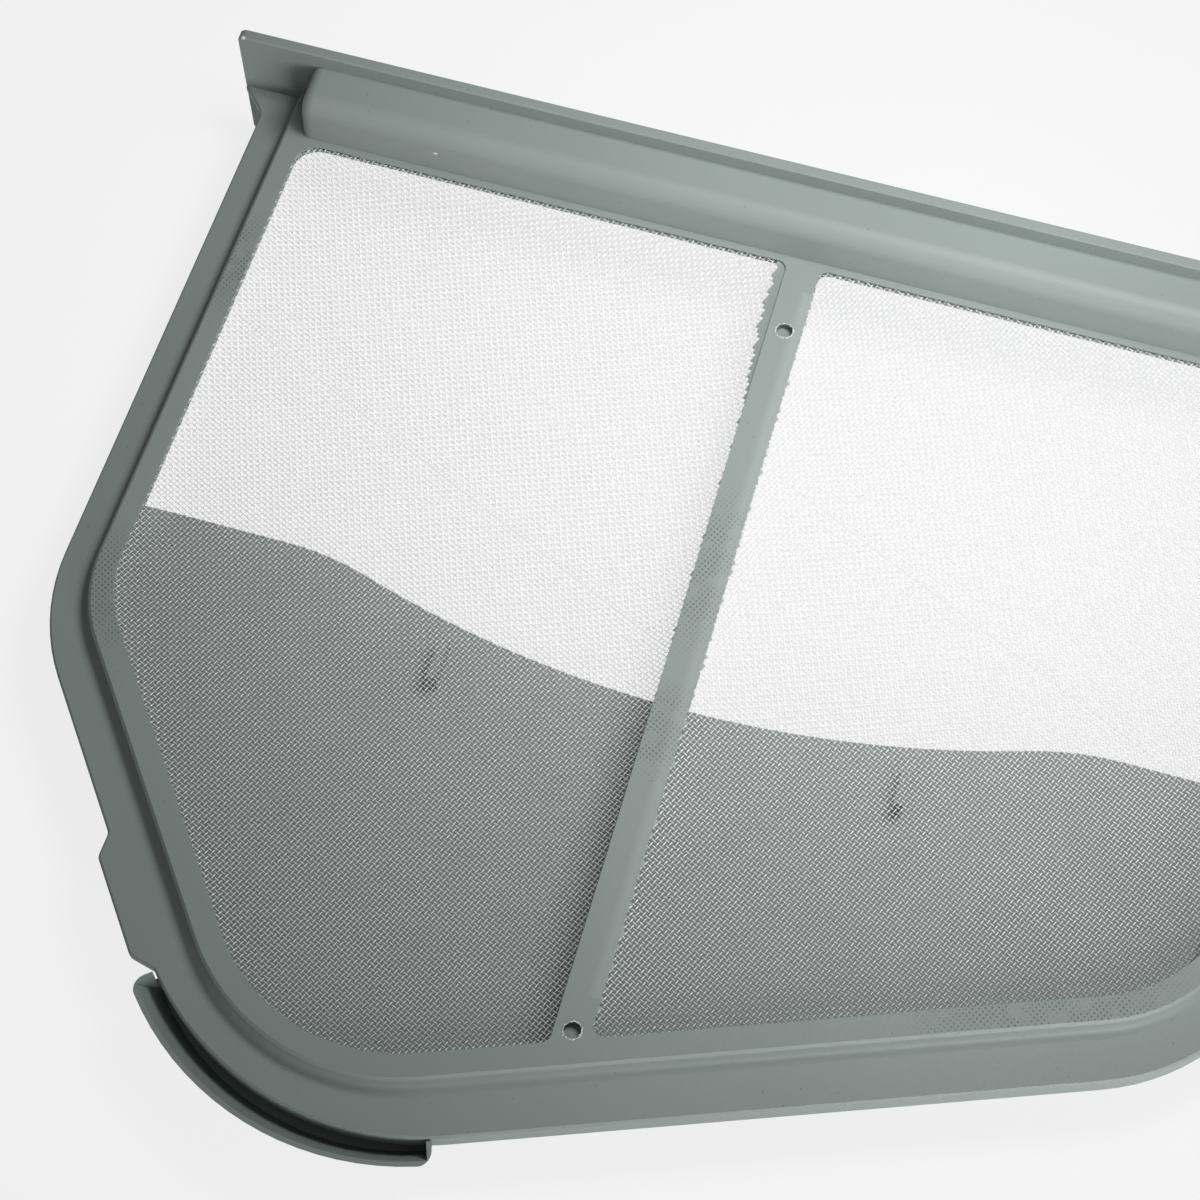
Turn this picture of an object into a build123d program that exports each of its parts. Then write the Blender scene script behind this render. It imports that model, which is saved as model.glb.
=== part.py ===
"""Tumble dryer lint filter: a mesh frame hinged to a rear pocket shell.

The filter lies on its back: +Z is the side of the mesh, +Y points to the cap plate and X runs along the
plate, with the centre rib at the middle of the frame. Sizes are millimetres. The sketches use the inner face
of the cap plate as y = 0 and the back of the shell as z = 0; the finished pieces are then moved together so
that the origin lies under the middle of the whole filter.
"""
from build123d import *
import math
import os

# Outline of both halves, in plan
TOP_HALF_WIDTH = 123.7        # left flange edge at the cap plate, from the rib's axis
LEFT_CORNER_X = 128.0         # the left side leans out to this half width
LEFT_CORNER_DROP = 132.4      # from the cap plate down to the left corner
TOE_X = 57.3                  # the lowest corner lies this far left of the rib
TOE_DROP = 227.3
RIGHT_EDGE_X = 126.4          # the right side, which carries the hinge
RIGHT_CORNER_DROP = 156.7
LEFT_CORNER_R = 42.0
TOE_R = 58.0
RIGHT_CORNER_R = 44.0

# Heights
SHELL_DEPTH = 15.0            # back of the shell to the parting plane
FLANGE_T = 1.9
STEP_H = 4.0                  # flange top to band top
WALL_T = 1.4                  # front frame's walls
SKIN_T = 1.9                  # the band's top
MESH_DROP = 0.7               # mesh mid-plane below the band's top
MESH_T = 0.6

# Widths of the flange and of the raised band, side by side
SIDE_FLANGE_W = 7.7
TOE_FLANGE_W = 9.1
BOTTOM_FLANGE_W = 10.3
SIDE_BAND_W = 4.6
TOE_BAND_W = 5.4
BOTTOM_BAND_W = 5.2
TOP_BAND_DROP = 13.2          # cap plate to the top edge of the windows
BAND_LEFT_R = 30.0
BAND_TOE_R = 43.0
BAND_RIGHT_R = 35.0
WINDOW_LEFT_R = 26.0
WINDOW_TOE_R = 36.8
WINDOW_RIGHT_R = 30.0
WINDOW_TOP_R = 5.5
WINDOW_RIB_R = 2.2
FLANGE_EDGE = 0.45            # chamfers
BAND_EDGE = 0.6
STEP_FOOT_R = 2.0

# Centre rib and its locating-pin holes
RIB_W = 7.0
RIB_T = 3.0
PIN_HOLE_D = 3.4
PIN_HOLE_DEPTH = 1.8
TOP_PIN_DROP = 29.6           # from the cap plate
BOTTOM_PIN_RISE = 2.0         # above the lower edge of the windows, on the rib's axis

# Cap plate and finger grip
PLATE_LEFT = 5.7              # the plate reaches this far beyond the flange at the left
PLATE_RIGHT = 1.8
PLATE_T = 2.4
PLATE_RISE = 17.9             # above the flange's top
PLATE_CORNER_R = 1.6
PLATE_EDGE = 0.3
FLARE_DROP = 5.8              # the flange widens to the plate over this length
FLARE_R = 5.0
GRIP_INSET = 11.2             # end of the bulge inside the edge of the flange
GRIP_DEPTH = 11.7
GRIP_RISE = 14.1              # above the flange's top
GRIP_LEAN = 1.2               # its front leans back by this from foot to top
GRIP_EDGE_R = 4.2             # round between its front and its top
GRIP_CORNER_R = 2.4
GRIP_WALL_T = 1.8

# Grip tab on the lower-left edge of the flange
TAB_TO_TOE = 24.3665          # from its start, along the lower-left side, to where the toe's round begins
TAB_L = 29.3
TAB_OUT = 3.3
TAB_SLOPE = 4.0               # length of its slanted ends
TAB_R = 2.0

# Woven mesh
WEAVE_TURN = -25.0            # direction of the weft, in degrees from the cap plate
GAP_PITCH = 16.4
GAP_W = 10.4
RIDGE_W = 1.2
RIDGE_H = 0.2
RIDGE_GAP = 1.0               # between a row of gaps and the ridge beside it
MESH_MARGIN = 2.5             # width of mesh inside the band
KEY_W = 2.0                   # slots in the mesh through which the rib's two skins join
KEY_L = 14.0
KEY_PITCH = 18.0

# Rear shell
RIM_T = 3.1
SHELL_WALL_T = 1.6
TOP_RAIL_W = 6.0              # rails beside the open window
SIDE_RAIL_W = 8.0
POCKET_TAPER = 14.0           # slope of the pocket wall, in degrees
POCKET_EDGE_R = 3.0
PLATE_GAP = 0.6               # shell to cap plate
EDGE_DROP = 95.5              # cap plate to the pocket's upper edge at both sides
EDGE_DIP = 13.7               # the edge is lower by this at the rib
EDGE_DIP_R = 235.0
EDGE_SLANT = 0.45             # the edge runs down by this for each unit up the side walls
EDGE_SHOULDER_R = 62.0
REGISTER_H = 2.6              # lip that enters the front frame
REGISTER_T = 1.2
REGISTER_GAP = 0.35
FIN_XS = (-49.6, 47.8)
FIN_L = 9.5
FIN_T = 2.0
FIN_H = 5.6
FIN_INSET = 6.5               # below the pocket's upper edge

# Finger lip round the toe corner
LIP_R = 52.7                  # round of the toe corner that the lip follows
LIP_OUT = 4.9                 # outer edge beyond that round
LIP_HOLLOW = 2.6              # the hollow reaches this far inside it
LIP_T = 1.0
LIP_DEPTH = 8.0               # foot of the scoop below the parting plane
LIP_LEAN = 4.6                # the scoop's wall leans out by this from foot to edge
LIP_BELOW_FLANGE = 0.4
LIP_GAP = 0.4                 # end walls to the edge of the flange
LIP_END_R = 2.8
LIP_START = 218.3             # angles about the toe corner's centre
LIP_END = 291.4

# Hinge at the right side: moulded pins in snap clips
HINGE_DROPS = (40.0, 104.0)
HINGE_OUT = 3.7               # pin axis outside the right edge
HINGE_PIN_R = 1.6
HINGE_PIN_GAP = 0.1
HINGE_EYE_R = 3.2
HINGE_CLIP_L = 10.0
HINGE_LUG_T = 3.2
HINGE_SIDE_GAP = 0.4
HINGE_MOUTH_W = 2.5
HINGE_MOUTH_TURN = 45.0       # the clip's mouth faces up and out

ROOT = 1.0                    # added features reach this far into the wall they stand on

# Levels that follow from the heights
PART_Z = SHELL_DEPTH
FLANGE_Z = PART_Z + FLANGE_T
BAND_Z = FLANGE_Z + STEP_H
MESH_Z = BAND_Z - MESH_DROP
PLATE_Z = FLANGE_Z + PLATE_RISE
GRIP_Z = FLANGE_Z + GRIP_RISE

CORNERS = [
    Vector(-TOP_HALF_WIDTH, 0),
    Vector(-LEFT_CORNER_X, -LEFT_CORNER_DROP),
    Vector(-TOE_X, -TOE_DROP),
    Vector(RIGHT_EDGE_X, -RIGHT_CORNER_DROP),
    Vector(RIGHT_EDGE_X, 0),
]


def crossing(p, d, q, e):
    """Point where the line through p along d meets the line through q along e."""
    gap = q - p
    along = (gap.X * e.Y - gap.Y * e.X) / (d.X * e.Y - d.Y * e.X)
    return p + d * along


def inset_corners(insets):
    """Corners of the outline with its sides moved inwards.

    insets are for the left, lower-left, bottom, right and top sides.
    """
    sides = []
    for i, corner in enumerate(CORNERS):
        along = (CORNERS[(i + 1) % len(CORNERS)] - corner).normalized()
        inward = Vector(-along.Y, along.X)
        sides.append((corner + inward * insets[i], along))
    return [crossing(*sides[i - 1], *sides[i]) for i in range(len(sides))]


def outline(insets, radii):
    """Face of the inset outline, with its corners rounded by the radii given from the top left round."""
    corners = inset_corners(insets)
    return make_face(FilletPolyline(*corners, radius=radii, close=True))


def slab(face, z_low, z_high):
    """The face carried straight up from one level to another."""
    return extrude(Pos(0, 0, z_low) * face, z_high - z_low)


def box_between(x_low, x_high, y_low, y_high, z_low, z_high):
    """Upright box between two levels in each direction."""
    middle = ((x_low + x_high) / 2, (y_low + y_high) / 2, (z_low + z_high) / 2)
    return Pos(*middle) * Box(x_high - x_low, y_high - y_low, z_high - z_low)


FLANGE_RADII = [0, LEFT_CORNER_R, TOE_R, RIGHT_CORNER_R, 0]
BAND_RADII = [0, BAND_LEFT_R, BAND_TOE_R, BAND_RIGHT_R, 0]
BAND_INSETS = [SIDE_FLANGE_W, TOE_FLANGE_W, BOTTOM_FLANGE_W, SIDE_FLANGE_W, 0]
WINDOW_INSETS = [
    SIDE_FLANGE_W + SIDE_BAND_W,
    TOE_FLANGE_W + TOE_BAND_W,
    BOTTOM_FLANGE_W + BOTTOM_BAND_W,
    SIDE_FLANGE_W + SIDE_BAND_W,
    TOP_BAND_DROP,
]
WINDOW_RADII = [WINDOW_TOP_R, WINDOW_LEFT_R, WINDOW_TOE_R, WINDOW_RIGHT_R, WINDOW_TOP_R]


def grown(insets, extra):
    """The same insets, moved further in on the four free sides and left alone at the cap plate."""
    return [inset + extra for inset in insets[:4]] + [insets[4]]


def shrunk(radii, extra):
    """Corner radii of an outline that lies further in."""
    return [max(radius - extra, 0) for radius in radii]


def window_faces():
    """The two mesh windows, either side of the rib."""
    whole = outline(WINDOW_INSETS, WINDOW_RADII)
    halves = whole - Pos(0, -TOE_DROP / 2) * Rectangle(RIB_W, 2 * TOE_DROP)
    rib_corners = [v for v in halves.vertices() if abs(abs(v.X) - RIB_W / 2) < 0.01]
    return fillet(rib_corners, WINDOW_RIB_R)


def rib_foot_y():
    """Height on the rib's axis of the windows' lower edge."""
    corners = inset_corners(WINDOW_INSETS)
    along = (corners[3] - corners[2]).normalized()
    return crossing(corners[2], along, Vector(0, 0), Vector(0, 1)).Y


def tab_start():
    """Start of the grip tab on the lower-left side, measured back from the toe's round."""
    along = (CORNERS[2] - CORNERS[1]).normalized()
    onward = (CORNERS[3] - CORNERS[2]).normalized()
    turn = math.acos(along.dot(onward))
    return CORNERS[2] - along * (TOE_R * math.tan(turn / 2) + TAB_TO_TOE)


def grip_tab_face():
    """Tab that sticks out of the lower-left side, with slanted ends."""
    along = (CORNERS[2] - CORNERS[1]).normalized()
    out = Vector(along.Y, -along.X)
    start = tab_start()
    end = start + along * TAB_L
    rise = along * TAB_SLOPE + out * TAB_OUT
    fall = along * TAB_SLOPE - out * TAB_OUT
    inside = ROOT / TAB_OUT
    points = [start - rise * inside, start + rise, end - fall, end + fall * inside]
    return make_face(FilletPolyline(*points, radius=[0, TAB_R, TAB_R, 0], close=True))


def flare_face(side):
    """Corner of the flange that widens to the end of the cap plate; side is -1 at the left, 1 at the right."""
    if side < 0:
        along = (CORNERS[1] - CORNERS[0]).normalized()
        top = CORNERS[0]
        reach = PLATE_LEFT
    else:
        along = (CORNERS[3] - CORNERS[4]).normalized()
        top = CORNERS[4]
        reach = PLATE_RIGHT
    foot = top + along * FLARE_DROP
    inner = Vector(-side * ROOT, 0)
    return make_face(Polyline(top + inner, top + Vector(side * reach, 0), foot, foot + inner, close=True))


def flange_face():
    """The flange in plan, with its flares and the grip tab."""
    face = outline([0] * 5, FLANGE_RADII)
    for side in (-1, 1):
        face += flare_face(side)
    face += grip_tab_face()
    along = (CORNERS[1] - CORNERS[0]).normalized()
    hollow_corners = [CORNERS[0] + along * FLARE_DROP, tab_start()]
    for point, radius in zip(hollow_corners, (FLARE_R, TAB_R)):
        face = fillet(face.vertices().sort_by_distance(point)[0], radius)
    return face


def raised_frame():
    """Flange and raised band, with a hollow step, rounded edges and a filleted foot."""
    body = slab(flange_face(), PART_Z, FLANGE_Z) + slab(outline(BAND_INSETS, BAND_RADII), PART_Z, BAND_Z)
    inner = outline(grown([0] * 5, SIDE_FLANGE_W / 2), FLANGE_RADII)
    at_flange = [e for e in body.edges().filter_by_position(Axis.Z, FLANGE_Z - 0.01, FLANGE_Z + 0.01)
                 if (e @ 0.5).Y < -0.01]
    foot = [e for e in at_flange if inner.is_inside(Vector((e @ 0.5).X, (e @ 0.5).Y, 0))]
    rim = [e for e in at_flange if not inner.is_inside(Vector((e @ 0.5).X, (e @ 0.5).Y, 0))]
    top = [e for e in body.edges().filter_by_position(Axis.Z, BAND_Z - 0.01, BAND_Z + 0.01)
           if (e @ 0.5).Y < -0.01]
    body = fillet(foot, STEP_FOOT_R)
    body = chamfer([e for e in body.edges() if any(same_edge(e, t) for t in top)], BAND_EDGE)
    body = chamfer([e for e in body.edges() if any(same_edge(e, t) for t in rim)], FLANGE_EDGE)
    hollow = outline(grown(BAND_INSETS, WALL_T), shrunk(BAND_RADII, WALL_T))
    return body - slab(hollow, PART_Z, BAND_Z - SKIN_T)


def same_edge(edge, other):
    """True where two edges have the same middle and length."""
    return (edge @ 0.5 - other @ 0.5).length < 0.01 and abs(edge.length - other.length) < 0.01


def cap_plate():
    """Upright plate across the top, with rounded corners and broken top edges."""
    plate = box_between(-TOP_HALF_WIDTH - PLATE_LEFT, RIGHT_EDGE_X + PLATE_RIGHT, 0, PLATE_T, 0, PLATE_Z)
    plate = fillet(plate.edges().filter_by(Axis.Y), PLATE_CORNER_R)
    return chamfer(plate.faces().sort_by(Axis.Z)[-1].edges().filter_by(Axis.X), PLATE_EDGE)


def grip_profile(depth, z_high, back, edge_r):
    """Section of the finger grip, up to y = back: a leaning front, a round edge and a level top."""
    points = [(-depth, BAND_Z), (-depth + GRIP_LEAN, z_high), (back, z_high), (back, BAND_Z)]
    return make_face(FilletPolyline(*points, radius=[0, edge_r, 0, 0], close=True))


def grip_block(depth, z_high, back, half_length, edge_r, corner_r):
    """The grip's section carried along the plate, with its free ends rounded."""
    section = Plane.YZ * grip_profile(depth, z_high, back, edge_r)
    block = extrude(section, half_length, both=True)
    ends = [e for e in block.edges()
            if abs(abs((e @ 0.5).X) - half_length) < 0.01
            and -depth - 0.01 <= (e @ 0.5).Y < -0.01
            and (e @ 0.5).Z > BAND_Z + 0.01]
    return fillet(ends, corner_r) if corner_r else block


def hinge_axis():
    """Line of the hinge pins: x and z."""
    return RIGHT_EDGE_X + HINGE_OUT, PART_Z


def along_y(radius, y_low, y_high):
    """Round bar on the hinge's axis between two values of y."""
    x, z = hinge_axis()
    return Pos(x, (y_low + y_high) / 2, z) * Rot(X=90) * Cylinder(radius, y_high - y_low)


def hinge_lugs():
    """Two lugs and the moulded pin between them, at each hinge of the front frame."""
    x, z = hinge_axis()
    half = HINGE_CLIP_L / 2 + HINGE_SIDE_GAP
    pieces = []
    for drop in HINGE_DROPS:
        for side in (-1, 1):
            ends = sorted((-drop + side * half, -drop + side * (half + HINGE_LUG_T)))
            pieces.append(along_y(HINGE_EYE_R, *ends))
            pieces.append(box_between(RIGHT_EDGE_X - ROOT, x, *ends, z, FLANGE_Z))
        pieces.append(along_y(HINGE_PIN_R, -drop - half, -drop + half))
    return pieces


def hinge_clips():
    """Snap clips of the rear shell, open up and outwards, round the pins."""
    x, z = hinge_axis()
    clips = []
    for drop in HINGE_DROPS:
        ends = (-drop - HINGE_CLIP_L / 2, -drop + HINGE_CLIP_L / 2)
        clip = along_y(HINGE_EYE_R, *ends) + box_between(RIGHT_EDGE_X - ROOT, x, *ends, z - RIM_T, z)
        clip -= along_y(HINGE_PIN_R + HINGE_PIN_GAP, *ends)
        mouth = Pos(HINGE_EYE_R, 0, 0) * Box(2 * HINGE_EYE_R, 2 * HINGE_CLIP_L, HINGE_MOUTH_W)
        clips.append(clip - Pos(x, -drop, z) * Rot(Y=-HINGE_MOUTH_TURN) * mouth)
    return clips


def mesh_blank():
    """Outline of the woven sheet, with slots where the plastic of the rib runs through it."""
    blank = outline([i - MESH_MARGIN for i in WINDOW_INSETS], [r + MESH_MARGIN for r in WINDOW_RADII])
    low = rib_foot_y()
    count = int((-TOP_BAND_DROP - low) // KEY_PITCH)
    middle = (-TOP_BAND_DROP + low) / 2
    for i in range(count):
        blank -= Pos(0, middle + (i - (count - 1) / 2) * KEY_PITCH) * Rectangle(KEY_W, KEY_L)
    return blank


def pin_holes():
    """Centres of the two locating-pin holes on the rib."""
    return [-TOP_PIN_DROP, rib_foot_y() + BOTTOM_PIN_RISE]


def front_frame():
    """The front moulding."""
    frame = raised_frame() + cap_plate()
    grip_half = TOP_HALF_WIDTH - GRIP_INSET
    frame += grip_block(GRIP_DEPTH, GRIP_Z, PLATE_T / 2, grip_half, GRIP_EDGE_R, GRIP_CORNER_R)
    low = rib_foot_y()
    frame += box_between(-RIB_W / 2, RIB_W / 2, low - WINDOW_RIB_R, -TOP_BAND_DROP, BAND_Z - RIB_T, BAND_Z)
    frame += hinge_lugs()
    frame -= grip_block(
        GRIP_DEPTH - GRIP_WALL_T, GRIP_Z - GRIP_WALL_T, PLATE_T + ROOT,
        grip_half - GRIP_WALL_T, GRIP_EDGE_R - GRIP_WALL_T, 0,
    )
    frame -= slab(window_faces(), PART_Z, BAND_Z + ROOT)
    frame -= slab(mesh_blank(), MESH_Z - MESH_T / 2, MESH_Z + MESH_T / 2)
    for y in pin_holes():
        frame -= Pos(0, y, BAND_Z - PIN_HOLE_DEPTH / 2) * Cylinder(PIN_HOLE_D / 2, PIN_HOLE_DEPTH)
    return frame


def weave_grid():
    """Centres of the gaps in the weave that lie whole inside a window."""
    reach = int(2 * TOE_DROP / GAP_PITCH)
    inside = offset(window_faces(), -GAP_W * math.sqrt(0.5))
    centres = []
    for i in range(-reach, reach + 1):
        for j in range(-reach, reach + 1):
            step = Vector(i * GAP_PITCH, j * GAP_PITCH).rotate(Axis.Z, WEAVE_TURN)
            centre = Vector(0, -TOE_DROP / 2) + step
            if any(f.is_inside(centre) for f in inside.faces()):
                centres.append(centre)
    return centres


def thread_ridges(turn):
    """Ridges along one direction of the weave, one on each side of every row of gaps."""
    reach = int(2 * TOE_DROP / GAP_PITCH)
    beside = GAP_W / 2 + RIDGE_GAP + RIDGE_W / 2
    strips = []
    for i in range(-reach, reach + 1):
        for side in (-1, 1):
            step = Vector(0, i * GAP_PITCH + side * beside).rotate(Axis.Z, turn)
            strips.append(Pos(step.X, step.Y - TOE_DROP / 2) * Rot(Z=turn) * Rectangle(4 * TOE_DROP, RIDGE_W))
    return (Sketch() + strips) & offset(window_faces(), -RIDGE_H)


def filter_mesh():
    """The woven sheet: threads as ridges, weft in front and warp behind, and gaps between them."""
    gaps = [Pos(c.X, c.Y) * Rot(Z=WEAVE_TURN) * Rectangle(GAP_W, GAP_W) for c in weave_grid()]
    holes = Sketch() + gaps
    low = MESH_Z - MESH_T / 2
    high = MESH_Z + MESH_T / 2
    sheet = slab(mesh_blank() - holes, low, high)
    sheet += slab(thread_ridges(WEAVE_TURN), high, high + RIDGE_H)
    sheet += slab(thread_ridges(WEAVE_TURN + 90), low - RIDGE_H, low)
    for y in pin_holes():
        sheet -= Pos(0, y, MESH_Z) * Cylinder(PIN_HOLE_D / 2, 2 * MESH_T)
    return sheet


def edge_height(x):
    """The pocket's upper edge on its middle arc, at a distance from the rib."""
    return -EDGE_DROP - EDGE_DIP + EDGE_DIP_R - math.sqrt(EDGE_DIP_R ** 2 - x ** 2)


def open_window_face():
    """What is cut away above the pocket's upper edge: flat at both sides, dished in the middle."""
    turn = math.acos(1 - EDGE_DIP / (EDGE_DIP_R + EDGE_SHOULDER_R))
    shoulder_x = (EDGE_DIP_R + EDGE_SHOULDER_R) * math.sin(turn)
    bend_x = EDGE_DIP_R * math.sin(turn)
    bend_y = edge_height(bend_x)
    mid_x = shoulder_x - EDGE_SHOULDER_R * math.sin(turn / 2)
    mid_y = -EDGE_DROP - EDGE_SHOULDER_R * (1 - math.cos(turn / 2))
    far = LEFT_CORNER_X + RIGHT_EDGE_X
    right = ThreePointArc((bend_x, bend_y), (mid_x, mid_y), (shoulder_x, -EDGE_DROP))
    dish = ThreePointArc((-bend_x, bend_y), (0, edge_height(0)), (bend_x, bend_y))
    left = ThreePointArc((-shoulder_x, -EDGE_DROP), (-mid_x, mid_y), (-bend_x, bend_y))
    rest = Polyline((shoulder_x, -EDGE_DROP), (far, -EDGE_DROP), (far, far), (-far, far), (-far, -EDGE_DROP),
                    (-shoulder_x, -EDGE_DROP))
    return make_face(left + dish + right + rest)


def leaning_slab(face, z_low, z_high):
    """The face carried up and towards the toe, so that the pocket's side walls are cut on a slant."""
    return extrude(Pos(0, 0, z_low) * face, z_high - z_low, dir=(0, -EDGE_SLANT, 1))


def toe_centre():
    """Centre of the round that the finger lip follows at the toe corner."""
    before = (CORNERS[1] - CORNERS[2]).normalized()
    after = (CORNERS[3] - CORNERS[2]).normalized()
    middle = (before + after).normalized()
    half = math.radians(before.get_angle(after) / 2)
    return CORNERS[2] + middle * (LIP_R / math.sin(half))


def scoop(inset, root, start, end, z_high, corner_r):
    """Sector of a leaning wall about the toe corner, filled in to the radius root; inset moves its face in."""
    z_foot = PART_Z - LIP_DEPTH
    z_lip = FLANGE_Z - LIP_BELOW_FLANGE
    slope = LIP_LEAN / (z_lip - z_foot)
    edge = LIP_R + LIP_OUT - inset
    z_low = z_foot + inset
    low = edge - (z_lip - z_low) * slope
    high = edge - (z_lip - z_high) * slope
    profile = Polyline((root, z_low), (low, z_low), (high, z_high), (root, z_high), close=True)
    sector = revolve(Plane.XZ * make_face(profile), Axis.Z, end - start)
    ends = [e for e in sector.edges()
            if math.hypot((e @ 0.5).X, (e @ 0.5).Y) > low
            and abs((e @ 0).Z - (e @ 1).Z) > FLANGE_T]
    if corner_r:
        sector = fillet(ends, corner_r)
    centre = toe_centre()
    return Pos(centre.X, centre.Y) * Rot(Z=start) * sector


def finger_lip():
    """Scoop under the toe corner of the flange, into which a finger reaches to lift the front frame."""
    z_lip = FLANGE_Z - LIP_BELOW_FLANGE
    end_turn = math.degrees(LIP_T / (LIP_R + LIP_OUT))
    body = scoop(0, LIP_R - LIP_OUT, LIP_START, LIP_END, z_lip, LIP_END_R)
    body -= scoop(
        LIP_T, LIP_R - LIP_HOLLOW, LIP_START + end_turn, LIP_END - end_turn, z_lip + FLANGE_T, 0,
    )
    clear = outline([-LIP_GAP] * 5, [0, LEFT_CORNER_R, TOE_R + LIP_GAP, RIGHT_CORNER_R, 0])
    clear += offset(grip_tab_face(), LIP_GAP)
    return body - slab(clear, PART_Z - RIM_T, BAND_Z)


def rear_shell():
    """The rear moulding: rim, pocket with a dished upper edge, rails, finger lip, fins and hinge clips."""
    inset = WALL_T + REGISTER_GAP
    pocket_insets = grown(BAND_INSETS, inset)[:4] + [TOP_RAIL_W]
    pocket_radii = [WINDOW_TOP_R] + shrunk(BAND_RADII, inset)[1:4] + [WINDOW_TOP_R]
    inner_insets = [i + SHELL_WALL_T for i in pocket_insets]
    inner_radii = shrunk(pocket_radii, SHELL_WALL_T)
    floor_z = SHELL_WALL_T
    mouth = Pos(0, 0, PART_Z)
    outer = extrude(mouth * outline(pocket_insets, pocket_radii), -PART_Z, taper=POCKET_TAPER)
    inner = extrude(mouth * outline(inner_insets, inner_radii), floor_z - PART_Z, taper=POCKET_TAPER)
    outer = fillet(outer.faces().sort_by(Axis.Z)[0].edges(), POCKET_EDGE_R)
    rim = slab(outline([0, 0, 0, 0, PLATE_GAP], FLANGE_RADII), PART_Z - RIM_T, PART_Z)
    lip_insets = [i + REGISTER_T for i in pocket_insets]
    lip = slab(outline(pocket_insets, pocket_radii), PART_Z, PART_Z + REGISTER_H)
    lip -= slab(outline(lip_insets, shrunk(pocket_radii, REGISTER_T)), PART_Z, PART_Z + REGISTER_H)
    shell = rim + outer - inner + lip
    shell -= leaning_slab(open_window_face(), -ROOT, PART_Z - RIM_T)
    inside_rails = outline([SIDE_RAIL_W] * 4 + [TOP_RAIL_W], [WINDOW_TOP_R, 0, 0, 0, WINDOW_TOP_R])
    open_half = slab(inside_rails, -ROOT, PART_Z + REGISTER_H)
    shell -= leaning_slab(open_window_face(), -ROOT, PART_Z + REGISTER_H) & open_half
    shell += finger_lip()
    shell += hinge_clips()
    for x in FIN_XS:
        top = edge_height(x) - FIN_INSET
        shell += box_between(x - FIN_T / 2, x + FIN_T / 2, top - FIN_L, top, floor_z - ROOT, floor_z + FIN_H)
    return shell


def write_parts():
    """Move the pieces so that the origin is under the middle of the filter, and write them."""
    nodes = {"front_frame": front_frame(), "filter_mesh": filter_mesh(), "rear_shell": rear_shell()}
    box = Compound(children=[Compound(n.solids()) for n in nodes.values()]).bounding_box()
    place = Pos(-(box.min.X + box.max.X) / 2, -(box.min.Y + box.max.Y) / 2, -box.min.Z)
    os.makedirs("parts", exist_ok=True)
    for name, node in nodes.items():
        solids = (place * node).solids()
        export_step(solids[0] if len(solids) == 1 else Compound(solids), f"parts/{name}.step")
    x, z = hinge_axis()
    print("origin moved by", place.position)
    print("hinge axis at", x + place.position.X, z + place.position.Z)


write_parts()
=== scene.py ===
"""Looks of a tumble dryer lint filter: grey moulded halves with a woven monofilament cloth.

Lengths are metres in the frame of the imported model. The filter lies on its back, +Z out of the cloth and +Y
towards the cap plate. MM turns the millimetre values below into metres.
"""
import math

import bpy
import numpy as np
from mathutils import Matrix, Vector
from mathutils.geometry import convex_hull_2d


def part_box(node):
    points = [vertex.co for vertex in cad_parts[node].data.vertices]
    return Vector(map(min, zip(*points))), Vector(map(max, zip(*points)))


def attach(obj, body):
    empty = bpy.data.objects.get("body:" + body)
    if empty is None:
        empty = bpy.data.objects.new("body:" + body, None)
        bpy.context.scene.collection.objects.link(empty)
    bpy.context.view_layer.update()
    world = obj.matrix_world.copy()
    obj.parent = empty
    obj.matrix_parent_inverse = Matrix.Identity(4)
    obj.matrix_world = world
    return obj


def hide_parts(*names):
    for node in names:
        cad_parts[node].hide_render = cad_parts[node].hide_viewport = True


MM = 0.001
SHORTEST_SIDE = 0.001 * MM       # sides of the cloth's outline under this have no direction of their own

# Photograph's view
VIEW_AZIMUTH = math.radians(16.14)
VIEW_ELEVATION = math.radians(64.92)
VIEW_DISTANCE = 588.8 * MM
VIEW_TARGET = Vector((-21.75, 9.89, 20.2)) * MM
LENS = 88.3                      # millimetres, on a sensor of the width below
SENSOR = 36.0

# Filter cloth
THREAD_TURN = math.radians(-24.5)  # weft against the cap plate
THREAD_PITCH = 0.89 * MM
THREAD_R = 0.13 * MM
THREAD_WAVE = 0.13 * MM          # a thread's centre rises and falls by this
CLOTH_HIDDEN = 2.5 * MM          # width of cloth that is moulded into the frame
CLOTH_END = 0.5 * MM             # the threads stop this far inside the edge of the moulded-in cloth
CLOTH_SAG = 1.5 * MM
SAG_REACH = 7.0 * MM
EDGE_SAG = 0.35 * MM             # steeper fall close to the plastic
EDGE_REACH = 1.1 * MM
SPLIT_LEFT, SPLIT_RIGHT = 0, 50  # weft thread, counted from the middle, at which each window's cloth is split

# Rib and the two pin holes on it
RIB_X = -1.95 * MM
RIB_W = 7.0 * MM
PIN_HOLES = np.array([[-1.95, 79.89], [-1.95, -77.19]]) * MM
PIN_HOLE_R = 1.7 * MM
BAND_TOP = 20.9 * MM
LEVEL = 0.1 * MM                 # a point this near the band's top counts as on it

# Plastic that has run into the cells of the weave beside the rib
FLASH_RIGHT = 0.0 * MM           # how far past the rib's side the middle of a filled cell may lie
FLASH_LEFT = -0.3 * MM
FLASH_LEFT_TOP = 2.0 * MM        # the same near the upper pin hole
FLASH_TOP_START = 45.0           # millimetres along the rib where it begins to grow, and over which it grows
FLASH_TOP_LENGTH = 35.0
FLASH_RAGGED = 0.25 * MM         # how far it changes along the rib
FLASH_RIPPLES = ((0.4, 0.31, 0.0), (0.6, 7.3, 1.0), (0.5, 13.7, 2.2))  # size, radians a millimetre, start
FLASH_INSIDE = 0.4               # share of a pitch by which a filled cell's middle may lie under the rib
FLASH_COVER = 1.1                # thread radii of plastic over a thread's centre

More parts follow.
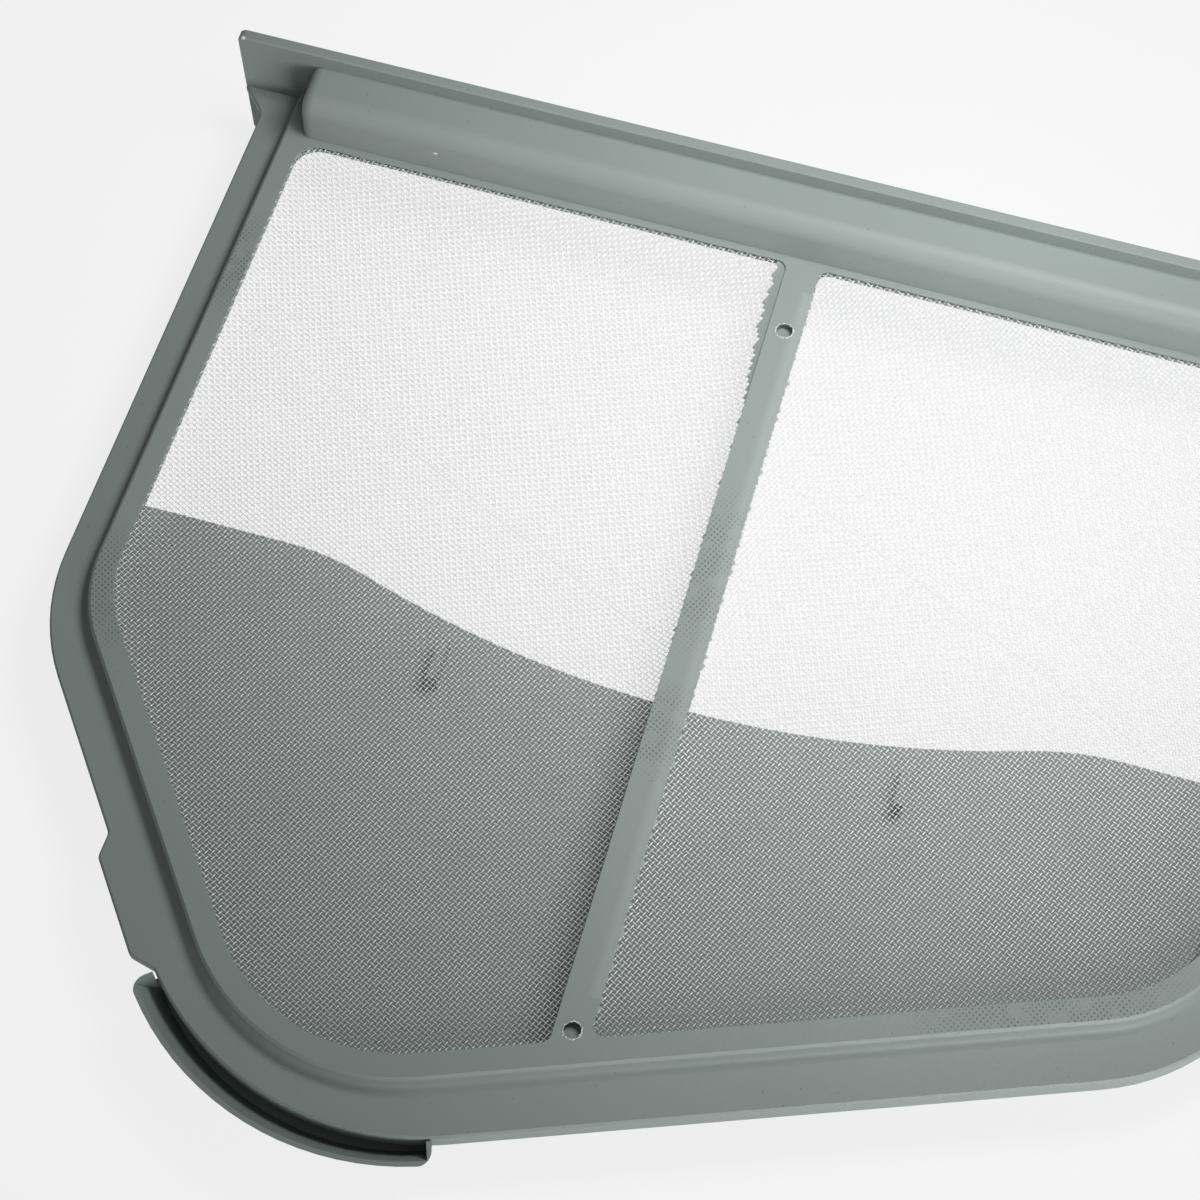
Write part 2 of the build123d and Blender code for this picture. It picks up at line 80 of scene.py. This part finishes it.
# Whitened rims of the pin holes
BURR_STEPS = 96
BURR_SIDES = 8
BURR_STARTS = (0.4, 2.1)         # start of the sines at each hole
BURR_R = 0.1 * MM                # section's radius where it is thin
BURR_WANDER = 0.07 * MM
BURR_FLAT = 0.8                  # section's height against its width

# Marks on the front half. An imprint of the weave has x, y, z and radius.
IMPRINTS = np.array([
    [-1.3, 22.4, 20.9, 21.0],
    [-1.3, -14.0, 20.9, 12.0],
    [-118.8, 64.0, 20.9, 14.0],
    [-118.4, -16.0, 20.9, 16.0],
    [83.2, -49.5, 20.9, 30.0],
]) * MM
CHIP = (-130.0 * MM, 109.5 * MM, 34.8 * MM)
NICK = (-83.8 * MM, 98.0 * MM, 26.0 * MM)
WHITENED = (                     # centre, long direction, length and width
    (CHIP, (1.0, 0.0, 0.0), 1.1 * MM, 0.4 * MM),
    (NICK, (0.7, 0.0, -0.7), 1.6 * MM, 0.28 * MM),
    (NICK, (0.0, 0.0, 1.0), 0.6 * MM, 0.4 * MM),
)
STRIP_X = (RIB_X + 1.0 * MM, RIB_X + 2.6 * MM, RIB_X + RIB_W / 2 + 0.6 * MM)  # paler strip: start, full, end
STRIP_Y = (-70 * MM, 90 * MM)
STRIP_RAGGED = 0.8 * MM
STRIP_AMOUNT = 0.13

# Colours
FRONT_GREY = (0.245, 0.287, 0.271)
REAR_GREY = (0.238, 0.279, 0.264)
FLASH_GREY = (0.28, 0.325, 0.308)
CLOUDING = 0.07                  # share by which the grey drifts to either side
SPECK_SHADE = 0.72
IMPRINT_SHADE = (0.5, 0.5, 0.5)
STRIP_GREY = (0.6, 0.65, 0.63)
NICK_GREY = (0.8, 0.82, 0.81)
BURR_GREYS = ((0.33, 0.37, 0.35), (0.78, 0.81, 0.79))
# Painted highlight: these whites and opacities make a thread whiter and more opaque where it passes over,
# standing in for glints
THREAD_GLINT_WHITES = ((0.93, 0.94, 0.93), (0.99, 0.99, 0.99))  # where a thread passes under, and over
THREAD_GLINT_OPACITY = (0.3, 0.8)         # how opaque it is there

# Studio
SKY = 0.16
FLOOR_HALF = 6.0
FLOOR_COLOUR = (0.9, 0.9, 0.905)
FLOOR_GLOW = 0.86                # share of the floor that the camera sees as plain paper, without shade
FLOOR_PAPER = (0.945, 0.945, 0.948)
LAMPS = (                        # name, place, aim, width, depth, watts and spread of the beam in degrees
    ("softbox_above", (0.09, 0.1, 0.33), (0, 0.08, 0.02), 0.14, 0.14, 0.31, 90),
    ("fill_right", (0.45, -0.5, 0.15), (0.08, 0.12, 0.02), 0.4, 0.22, 0.52, 60),
)

# Sockets of a colour mix node
MIX_A, MIX_B, MIX_OUT = 6, 7, 2

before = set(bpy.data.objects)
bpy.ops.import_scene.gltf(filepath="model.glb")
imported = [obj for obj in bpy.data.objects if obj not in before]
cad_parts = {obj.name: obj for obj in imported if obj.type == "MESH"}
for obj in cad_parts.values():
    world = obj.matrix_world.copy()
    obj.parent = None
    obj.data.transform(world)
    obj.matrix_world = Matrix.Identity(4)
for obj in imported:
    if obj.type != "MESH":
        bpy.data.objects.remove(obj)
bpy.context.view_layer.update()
CLOTH_LOW, CLOTH_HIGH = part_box("filter_mesh")
CLOTH_Z = (CLOTH_LOW.z + CLOTH_HIGH.z) / 2


def cad_points(node):
    """All vertices of a CAD node as an array of rows x, y, z."""
    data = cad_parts[node].data
    points = np.zeros(len(data.vertices) * 3, np.float32)
    data.vertices.foreach_get("co", points)
    return points.reshape(-1, 3).astype(float)


def cloth_outline():
    """Convex outline of the cloth in plan, anticlockwise."""
    plan = np.round(cad_points("filter_mesh")[:, :2], 6)
    order = convex_hull_2d([tuple(p) for p in plan])
    ring = plan[order]
    area = np.sum(ring[:, 0] * np.roll(ring[:, 1], -1) - np.roll(ring[:, 0], -1) * ring[:, 1])
    return ring if area > 0 else ring[::-1]


OUTLINE = cloth_outline()
MIDDLE = (OUTLINE.max(axis=0) + OUTLINE.min(axis=0)) / 2
WEFT = np.array([math.cos(THREAD_TURN), math.sin(THREAD_TURN)])
WARP = np.array([-WEFT[1], WEFT[0]])


def edge_distance(points):
    """Distance of points in plan to the nearest side of the cloth's outline, positive inside."""
    along = np.roll(OUTLINE, -1, axis=0) - OUTLINE
    length = np.linalg.norm(along, axis=1)
    real = length > SHORTEST_SIDE
    start, along = OUTLINE[real], along[real] / length[real, None]
    inward = np.stack([-along[:, 1], along[:, 0]], axis=1)
    return (points @ inward.T - np.sum(start * inward, axis=1)).min(axis=1)


def sag(points):
    """How far the cloth lies below its clamped edges.

    The cloth falls away from the frame and from the rib by one minus the exponential of the distance over a
    reach, and the two falls are multiplied. A smaller fall of short reach is added.
    """
    from_frame = np.clip(edge_distance(points) - CLOTH_HIDDEN, 0, None)
    from_rib = np.clip(np.abs(points[:, 0] - RIB_X) - RIB_W / 2, 0, None)
    wide = (1 - np.exp(-from_frame / SAG_REACH)) * (1 - np.exp(-from_rib / SAG_REACH))
    close = (1 - np.exp(-from_frame / EDGE_REACH)) * (1 - np.exp(-from_rib / EDGE_REACH))
    return CLOTH_SAG * wide + EDGE_SAG * close


def make_piece(name, vertices, faces, material, body, crest=None, smooth=True):
    """A mesh object at the origin, riding on a body.

    crest says for each vertex of a thread whether it passes over there. Threads are rings of three vertices,
    and the edges round a ring are sharp where the thread passes under, so that its normals turn from one
    slope to the other over the top.
    """
    mesh = bpy.data.meshes.new(name)
    mesh.from_pydata(vertices.tolist(), [], [tuple(f) for f in faces])
    if crest is not None:
        mesh.attributes.new("crest", "FLOAT", "POINT").data.foreach_set("value", crest.astype(np.float32))
        ends = np.zeros(len(mesh.edges) * 2, np.int32)
        mesh.edges.foreach_get("vertices", ends)
        ring = ends.reshape(-1, 2) // 3
        under = (ring[:, 0] == ring[:, 1]) & ~crest[ring[:, 0] * 3]
        mesh.attributes.new("sharp_edge", "BOOLEAN", "EDGE").data.foreach_set("value", under)
    mesh.materials.append(material)
    mesh.polygons.foreach_set("use_smooth", np.full(len(mesh.polygons), smooth))
    mesh.update()
    piece = bpy.data.objects.new(name, mesh)
    bpy.context.scene.collection.objects.link(piece)
    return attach(piece, body)


def thread_set(crossing, kept, height, over, side):
    """Three-sided tubes along the first index of a grid of crossings.

    crossing holds the plan positions on the grid, kept says which crossings belong to the stretch, height is
    the thread's centre at each, over says where it passes over, and side is the direction across it. The
    section is a triangle with one corner up, and a tube runs from each kept crossing to the next one. Open
    ends are closed by a triangle. The last array says for each vertex whether the thread passes over there.
    """
    turn = np.radians([90, 210, 330])
    across = np.cos(turn) * THREAD_R
    up = np.sin(turn) * THREAD_R
    index = np.cumsum(kept.ravel()).reshape(kept.shape) - 1
    centre = np.concatenate([crossing[kept], height[kept][:, None]], axis=1)
    ring = centre[:, None, :] + across[None, :, None] * np.append(side, 0)
    ring = ring + up[None, :, None] * np.array([0, 0, 1])
    joined = kept[:-1] & kept[1:]
    a = index[:-1][joined][:, None] * 3 + np.arange(3)
    b = index[1:][joined][:, None] * 3 + np.arange(3)
    quads = np.stack([a, b, np.roll(b, -1, axis=1), np.roll(a, -1, axis=1)], axis=2).reshape(-1, 4)
    before = np.vstack([np.zeros((1, kept.shape[1]), bool), joined])
    after = np.vstack([joined, np.zeros((1, kept.shape[1]), bool)])
    first = index[kept & ~before & after][:, None] * 3 + np.arange(3)
    last = index[kept & before & ~after][:, None] * 3 + np.arange(3)[::-1]
    return ring.reshape(-1, 3), quads, np.vstack([first, last]), np.repeat(over[kept], 3)


def weave_grid(shift=0.0):
    """Counts along weft and warp, and plan positions.

    The positions are those of the crossings, or of the cells between them with a shift of a half.
    """
    reach = int(np.linalg.norm(np.ptp(OUTLINE, axis=0)) / 2 / THREAD_PITCH) + 1
    count = np.arange(-reach, reach + 1)
    i, j = np.meshgrid(count, count, indexing="ij")
    return i, j, MIDDLE + THREAD_PITCH * ((i + shift)[..., None] * WEFT + (j + shift)[..., None] * WARP)


def woven_stretch(name, inside, material):
    """Warp and weft of one stretch of the cloth in plain weave.

    Crossings lie on a square grid turned against the plate. Each thread's centre is the sagging cloth plus or
    minus the wave, with the sign alternating along the thread and from thread to thread.
    """
    i, j, crossing = weave_grid()
    flat = crossing.reshape(-1, 2)
    from_pins = np.linalg.norm(flat[:, None, :] - PIN_HOLES, axis=2).min(axis=1)
    in_sheet = (edge_distance(flat) > CLOTH_END) & (from_pins > PIN_HOLE_R + THREAD_R)
    kept = (in_sheet & inside(flat, i.ravel(), j.ravel())).reshape(i.shape)
    warp_kept = kept.copy()
    warp_kept[:, 1:] |= kept[:, :-1] & in_sheet.reshape(i.shape)[:, 1:]
    level = (CLOTH_Z - sag(flat)).reshape(i.shape)
    over = (i + j) % 2 == 0
    wave = np.where(over, THREAD_WAVE, -THREAD_WAVE)
    v1, q1, c1, o1 = thread_set(crossing, kept, level + wave, over, WARP)
    v2, q2, c2, o2 = thread_set(crossing.transpose(1, 0, 2), warp_kept.T, (level - wave).T, ~over.T, -WEFT)
    shift = len(v1)
    faces = [*q1, *c1, *(q2 + shift), *(c2 + shift)]
    piece = make_piece(name, np.vstack([v1, v2]), faces, material, "front", np.concatenate([o1, o2]))
    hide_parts("filter_mesh")
    return piece


def rib_flash(material):
    """Plastic in the cells of the weave beside the rib.

    A cell is filled where its middle lies within a width of the rib's side. The width is a base plus sines of
    the position along the rib, and the left side's base grows with the square of the way up to the upper pin
    hole. Each filled cell is a low block that covers its threads.
    """
    middle = weave_grid(0.5)[2].reshape(-1, 2)
    beside = np.abs(middle[:, 0] - RIB_X) - RIB_W / 2
    along = middle[:, 1] / MM
    ripple = sum(size * np.sin(along * rate + start) for size, rate, start in FLASH_RIPPLES)
    upper = np.clip((along - FLASH_TOP_START) / FLASH_TOP_LENGTH, 0, 1)
    left = FLASH_LEFT + (FLASH_LEFT_TOP - FLASH_LEFT) * upper ** 2
    width = np.where(middle[:, 0] > RIB_X, FLASH_RIGHT, left) + FLASH_RAGGED * ripple
    filled = (beside > -FLASH_INSIDE * THREAD_PITCH) & (beside < width)
    middle = middle[filled & (edge_distance(middle) > CLOTH_HIDDEN)]
    corner = np.array([[-1, -1], [1, -1], [1, 1], [-1, 1]]) * THREAD_PITCH / 2
    plan = middle[:, None, :] + corner[None, :, :1] * WEFT + corner[None, :, 1:] * WARP
    level = (CLOTH_Z - sag(plan.reshape(-1, 2))).reshape(-1, 4, 1)
    block = np.concatenate([
        np.concatenate([plan, level - THREAD_R], axis=2),
        np.concatenate([plan, level + THREAD_WAVE + FLASH_COVER * THREAD_R], axis=2),
    ], axis=1)
    box = np.array([[3, 2, 1, 0], [4, 5, 6, 7], [0, 1, 5, 4], [1, 2, 6, 5], [2, 3, 7, 6], [3, 0, 4, 7]])
    faces = (box[None] + np.arange(len(block))[:, None, None] * 8).reshape(-1, 4)
    piece = make_piece("rib_flash", block.reshape(-1, 3), faces.tolist(), material, "front", smooth=False)


def pin_burrs(material):
    """Raised rim of whitened plastic round each pin hole.

    A ring of round section whose radius and thickness change round the hole by sums of sines.
    """
    turn, section = np.meshgrid(
        np.arange(BURR_STEPS) * 2 * math.pi / BURR_STEPS,
        np.arange(BURR_SIDES) * 2 * math.pi / BURR_SIDES,
        indexing="ij",
    )
    vertices = []
    faces = []
    for count, (hole, phase) in enumerate(zip(PIN_HOLES, BURR_STARTS)):
        rough = np.sin(3 * turn + phase) + np.sin(7 * turn + 2 * phase) + np.sin(17 * turn + 5 * phase)
        fleck = np.sin(2 * turn + 3 * phase) + np.sin(11 * turn + phase) + 0.8 * np.sin(23 * turn)
        thick = BURR_R * (1 + np.clip(rough / 2, 0, 1))
        radius = PIN_HOLE_R + BURR_R + BURR_WANDER * fleck + thick * np.cos(section)
        vertices.append(np.stack([
            hole[0] + radius * np.cos(turn),
            hole[1] + radius * np.sin(turn),
            BAND_TOP + BURR_FLAT * thick * np.sin(section),
        ], axis=2).reshape(-1, 3))
        index = np.arange(turn.size).reshape(turn.shape) + count * turn.size
        onward, inward = np.roll(index, -1, axis=0), np.roll(index, -1, axis=1)
        across = np.roll(onward, -1, axis=1)
        faces.append(np.stack([index, onward, across, inward], axis=2).reshape(-1, 4))
    piece = make_piece("pin_hole_burrs", np.vstack(vertices), np.vstack(faces).tolist(), material, "front")


# Materials
def new_material(name):
    """An empty node material: its tree, principled shader and a function that adds a node."""
    material = bpy.data.materials.new(name)
    material.use_nodes = True
    tree = material.node_tree
    shader = tree.nodes["Principled BSDF"]

    def add(kind, settings=None, **inputs):
        """Add a node with its properties, and values or sockets for inputs, by name or by i and number."""
        node = tree.nodes.new(kind)
        for key, value in (settings or {}).items():
            setattr(node, key, value)
        for key, value in inputs.items():
            numbered = key[0] == "i" and key[1:].isdigit()
            socket = node.inputs[int(key[1:]) if numbered else key]
            if isinstance(value, bpy.types.NodeSocket):
                tree.links.new(value, socket)
            else:
                socket.default_value = value
        return node

    return material, tree, shader, add


def grey_plastic(name, colour, marked=False):
    """Matte moulded plastic: fine grain, faint clouding and rare dark specks.

    The marked half also has the weave's imprint in patches, a paler strip along the rib and whitened nicks.
    """
    material, tree, shader, add = new_material(name)
    place = add("ShaderNodeTexCoord").outputs["Object"]
    cloud = add("ShaderNodeTexNoise", Vector=place, Scale=22.0, Detail=3.0).outputs["Fac"]
    grain = add("ShaderNodeTexNoise", Vector=place, Scale=2600.0, Detail=2.0).outputs["Fac"]
    shade = add("ShaderNodeMix", {"data_type": "RGBA"}, Factor=cloud)
    shade.inputs[MIX_A].default_value = (*[c * (1 - CLOUDING) for c in colour], 1)
    shade.inputs[MIX_B].default_value = (*[c * (1 + CLOUDING) for c in colour], 1)
    speck = add("ShaderNodeTexVoronoi", Vector=place, Scale=260.0, Randomness=1.0).outputs["Distance"]
    dark = add("ShaderNodeMapRange", i0=speck, i1=0.03, i2=0.07, i3=SPECK_SHADE, i4=1.0).outputs[0]
    tint = add("ShaderNodeMix", {"data_type": "RGBA", "blend_type": "MULTIPLY"}, Factor=1.0)
    tree.links.new(shade.outputs[MIX_OUT], tint.inputs[MIX_A])
    tree.links.new(dark, tint.inputs[MIX_B])
    surface = tint.outputs[MIX_OUT]
    if marked:
        surface = add_marks(tree, add, place, surface)
    tree.links.new(surface, shader.inputs["Base Color"])
    rough = add("ShaderNodeMapRange", i0=grain, i1=0.3, i2=0.7, i3=0.46, i4=0.6).outputs[0]
    tree.links.new(rough, shader.inputs["Roughness"])
    bump = add("ShaderNodeBump", Strength=0.18, Distance=0.12 * MM, Height=grain).outputs["Normal"]
    tree.links.new(bump, shader.inputs["Normal"])
    shader.inputs["Specular IOR Level"].default_value = 0.4
    return material


def add_marks(tree, add, place, colour):
    """Colour socket with the imprint of the weave, the rib's paler strip and the whitened nicks laid over it.

    The imprint is a dark dot in every cell, where the product of the sines of the two weave coordinates is
    far from zero, inside the patches that are listed. A nick is pale where a sum of squares, the way along it
    over its length and a part of the distance over its width, is small.
    """
    def numbered(values):
        """Values by the number of their input."""
        return {"i%d" % k: value for k, value in enumerate(values)}

    def scalar(operation, *values):
        """A math node's output; values are numbers or sockets."""
        return add("ShaderNodeMath", {"operation": operation}, **numbered(values)).outputs[0]

    def ramp(value, low, high, out_low, out_high):
        """The value carried from one range to another, and held at its ends."""
        return add("ShaderNodeMapRange", i0=value, i1=low, i2=high, i3=out_low, i4=out_high).outputs[0]

    def vector(operation, *values):
        """A vector math node."""
        return add("ShaderNodeVectorMath", {"operation": operation}, **numbered(values))

    def over(below, amount, value, blend):
        """The colour with another laid over it."""
        node = add("ShaderNodeMix", {"data_type": "RGBA", "blend_type": blend}, Factor=amount)
        tree.links.new(below, node.inputs[MIX_A])
        node.inputs[MIX_B].default_value = (*value, 1)
        return node.outputs[MIX_OUT]

    from_middle = vector("SUBTRACT", place, (*MIDDLE, 0.0)).outputs[0]
    waves = []
    for direction in (WEFT, WARP):
        along = vector("DOT_PRODUCT", from_middle, (*direction, 0.0)).outputs["Value"]
        waves.append(scalar("SINE", scalar("MULTIPLY", along, math.pi / THREAD_PITCH)))
    dot = ramp(scalar("ABSOLUTE", scalar("MULTIPLY", *waves)), 0.5, 0.85, 0.0, 1.0)
    patch = 0.0
    for x, y, z, radius in IMPRINTS:
        reach = vector("DISTANCE", place, (x, y, z)).outputs["Value"]
        patch = scalar("MAXIMUM", patch, ramp(reach, radius, radius * 0.45, 0.0, 1.0))
    patchy = add("ShaderNodeTexNoise", Vector=place, Scale=260.0, Detail=1.0).outputs["Fac"]
    patch = scalar("MULTIPLY", patch, ramp(patchy, 0.32, 0.52, 0.0, 1.0))
    x, y, z = add("ShaderNodeSeparateXYZ", Vector=place).outputs
    above = scalar("GREATER_THAN", z, BAND_TOP - LEVEL)
    level = scalar("MULTIPLY", above, scalar("LESS_THAN", z, BAND_TOP + LEVEL))
    imprint = scalar("MULTIPLY", scalar("MULTIPLY", dot, patch), level)
    colour = over(colour, imprint, IMPRINT_SHADE, "MULTIPLY")
    ragged = add("ShaderNodeTexNoise", Vector=place, Scale=900.0, Detail=2.0).outputs["Fac"]
    start, full, end = STRIP_X
    low, high = STRIP_Y
    strip = ramp(scalar("ADD", x, scalar("MULTIPLY", ragged, STRIP_RAGGED)), start, full, 0.0, 1.0)
    strip = scalar("MULTIPLY", strip, scalar("LESS_THAN", x, end))
    strip = scalar("MULTIPLY", strip, scalar("LESS_THAN", y, high))
    strip = scalar("MULTIPLY", strip, scalar("GREATER_THAN", y, low))
    colour = over(colour, scalar("MULTIPLY", strip, STRIP_AMOUNT), STRIP_GREY, "MIX")
    for centre, long_way, long, short in WHITENED:
        gap = vector("SUBTRACT", place, centre).outputs[0]
        far = scalar("DIVIDE", vector("DOT_PRODUCT", gap, long_way).outputs["Value"], long)
        wide = scalar("DIVIDE", vector("LENGTH", gap).outputs["Value"], short)
        part = scalar("MULTIPLY", scalar("POWER", wide, 2.0), 0.3)
        share = scalar("ADD", scalar("POWER", far, 2.0), part)
        amount = ramp(scalar("ADD", share, ragged), 1.5, 0.9, 0.0, 0.9)
        colour = over(colour, amount, NICK_GREY, "MIX")
    return colour


def pale_burr():
    """Stressed plastic that has turned pale, clouded in flecks."""
    material, tree, shader, add = new_material("pale_burr")
    place = add("ShaderNodeTexCoord").outputs["Object"]
    fleck = add("ShaderNodeTexNoise", Vector=place, Scale=1700.0, Detail=2.0).outputs["Fac"]
    pale = add("ShaderNodeMapRange", i0=fleck, i1=0.4, i2=0.6).outputs[0]
    shade = add("ShaderNodeMix", {"data_type": "RGBA"}, Factor=pale)
    for socket, grey in zip((MIX_A, MIX_B), BURR_GREYS):
        shade.inputs[socket].default_value = (*grey, 1)
    tree.links.new(shade.outputs[MIX_OUT], shader.inputs["Base Color"])
    shader.inputs["Roughness"].default_value = 0.5
    return material


def monofilament():
    """Milky nylon thread with a painted highlight: whiter and less clear where it passes over another than
    where it passes under, in place of the glints on the crossings.
    """
    material, tree, shader, add = new_material("nylon_thread_painted_glints")
    place = add("ShaderNodeTexCoord").outputs["Object"]
    crest = add("ShaderNodeAttribute", {"attribute_name": "crest"}).outputs["Fac"]
    drift = add("ShaderNodeTexNoise", Vector=place, Scale=90.0, Detail=2.0).outputs["Fac"]
    smooth = {"interpolation_type": "SMOOTHSTEP"}
    # Painted highlight: the crest sets a whiter, more opaque patch where the glints would be
    painted_glint = add("ShaderNodeMapRange", smooth, i0=crest, i1=0.2, i2=0.95, i3=0.0, i4=1.0).outputs[0]
    shade = add("ShaderNodeMix", {"data_type": "RGBA"}, Factor=painted_glint)
    for socket, white in zip((MIX_A, MIX_B), THREAD_GLINT_WHITES):
        shade.inputs[socket].default_value = (*white, 1)
    tree.links.new(shade.outputs[MIX_OUT], shader.inputs["Base Color"])
    under, over = THREAD_GLINT_OPACITY
    body = add("ShaderNodeMapRange", i0=painted_glint, i1=0.0, i2=1.0, i3=under, i4=over).outputs[0]
    clear = add("ShaderNodeMapRange", i0=drift, i1=0.3, i2=0.7, i3=0.88, i4=1.08).outputs[0]
    opaque = add("ShaderNodeMath", {"operation": "MULTIPLY"}, i0=body, i1=clear).outputs[0]
    tree.links.new(opaque, shader.inputs["Alpha"])
    shader.inputs["Roughness"].default_value = 0.22
    shader.inputs["IOR"].default_value = 1.8
    shader.inputs["Specular IOR Level"].default_value = 1.0
    return material


def dress_halves():
    """The two moulded halves keep their shapes and get their plastic, the rib's flash and the burrs."""
    colours = {"front_frame": FRONT_GREY, "rear_shell": REAR_GREY}
    for node, colour in colours.items():
        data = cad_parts[node].data
        data.materials.clear()
        data.materials.append(grey_plastic("grey_plastic_" + node, colour, node == "front_frame"))
    rib_flash(grey_plastic("grey_plastic_flash", FLASH_GREY))
    pin_burrs(pale_burr())


def dress_cloth():
    """The cloth in four stretches, split at the rib and along one weft thread on each side."""
    thread = monofilament()
    stretches = {
        "cloth_left_low": lambda p, i, j: (p[:, 0] < RIB_X) & (j < SPLIT_LEFT),
        "cloth_left_high": lambda p, i, j: (p[:, 0] < RIB_X) & (j >= SPLIT_LEFT),
        "cloth_right_low": lambda p, i, j: (p[:, 0] >= RIB_X) & (j < SPLIT_RIGHT),
        "cloth_right_high": lambda p, i, j: (p[:, 0] >= RIB_X) & (j >= SPLIT_RIGHT),
    }
    for name, inside in stretches.items():
        woven_stretch(name, inside, thread)


def lay_floor():
    """Pale floor that the camera sees mostly as plain paper."""
    floor_mesh = bpy.data.meshes.new("floor")
    corners = [(x * FLOOR_HALF, y * FLOOR_HALF, 0) for x, y in ((-1, -1), (1, -1), (1, 1), (-1, 1))]
    floor_mesh.from_pydata(corners, [], [(0, 1, 2, 3)])
    floor = bpy.data.objects.new("floor", floor_mesh)
    material, tree, shader, add = new_material("pale_floor")
    shader.inputs["Base Color"].default_value = (*FLOOR_COLOUR, 1)
    shader.inputs["Roughness"].default_value = 0.9
    shader.inputs["Specular IOR Level"].default_value = 0.1
    rays = add("ShaderNodeLightPath").outputs
    larger = {"operation": "MAXIMUM"}
    seen = add("ShaderNodeMath", larger, i0=rays["Is Camera Ray"], i1=rays["Is Glossy Ray"])
    seen = add("ShaderNodeMath", larger, i0=seen.outputs[0], i1=rays["Is Transmission Ray"])
    share = add("ShaderNodeMath", {"operation": "MULTIPLY"}, i0=seen.outputs[0], i1=FLOOR_GLOW)
    glow = add("ShaderNodeEmission", Color=(*FLOOR_PAPER, 1), Strength=1.0)
    both = add("ShaderNodeMixShader", i0=share.outputs[0])
    tree.links.new(shader.outputs[0], both.inputs[1])
    tree.links.new(glow.outputs[0], both.inputs[2])
    tree.links.new(both.outputs[0], tree.nodes["Material Output"].inputs["Surface"])
    floor_mesh.materials.append(material)
    bpy.context.scene.collection.objects.link(floor)


def set_lights():
    """Even sky, a softbox above the bulge and a low fill from the right."""
    world = bpy.data.worlds.new("studio")
    bpy.context.scene.world = world
    world.use_nodes = True
    world.node_tree.nodes["Background"].inputs["Color"].default_value = (1, 1, 1, 1)
    world.node_tree.nodes["Background"].inputs["Strength"].default_value = SKY

    for name, place, aim, width, depth, power, spread in LAMPS:
        data = bpy.data.lights.new(name, "AREA")
        data.shape = "RECTANGLE"
        data.size = width
        data.size_y = depth
        data.energy = power
        data.spread = math.radians(spread)
        light = bpy.data.objects.new(name, data)
        light.location = place
        light.rotation_mode = "QUATERNION"
        light.rotation_quaternion = (Vector(aim) - Vector(place)).to_track_quat("-Z", "Y")
        bpy.context.scene.collection.objects.link(light)


def set_camera():
    """The photograph's camera."""
    data = bpy.data.cameras.new("camera")
    data.lens = LENS
    data.sensor_width = SENSOR
    camera = bpy.data.objects.new("camera", data)
    back = Vector((
        math.sin(VIEW_AZIMUTH) * math.cos(VIEW_ELEVATION),
        -math.cos(VIEW_AZIMUTH) * math.cos(VIEW_ELEVATION),
        math.sin(VIEW_ELEVATION),
    ))
    camera.location = VIEW_TARGET + back * VIEW_DISTANCE
    camera.rotation_mode = "QUATERNION"
    camera.rotation_quaternion = (-back).to_track_quat("-Z", "Y")
    data.clip_start = 0.01
    data.clip_end = 50.0
    bpy.context.scene.collection.objects.link(camera)
    bpy.context.scene.camera = camera
    bpy.context.scene.view_settings.view_transform = "Standard"


dress_halves()
dress_cloth()
lay_floor()
set_lights()
set_camera()
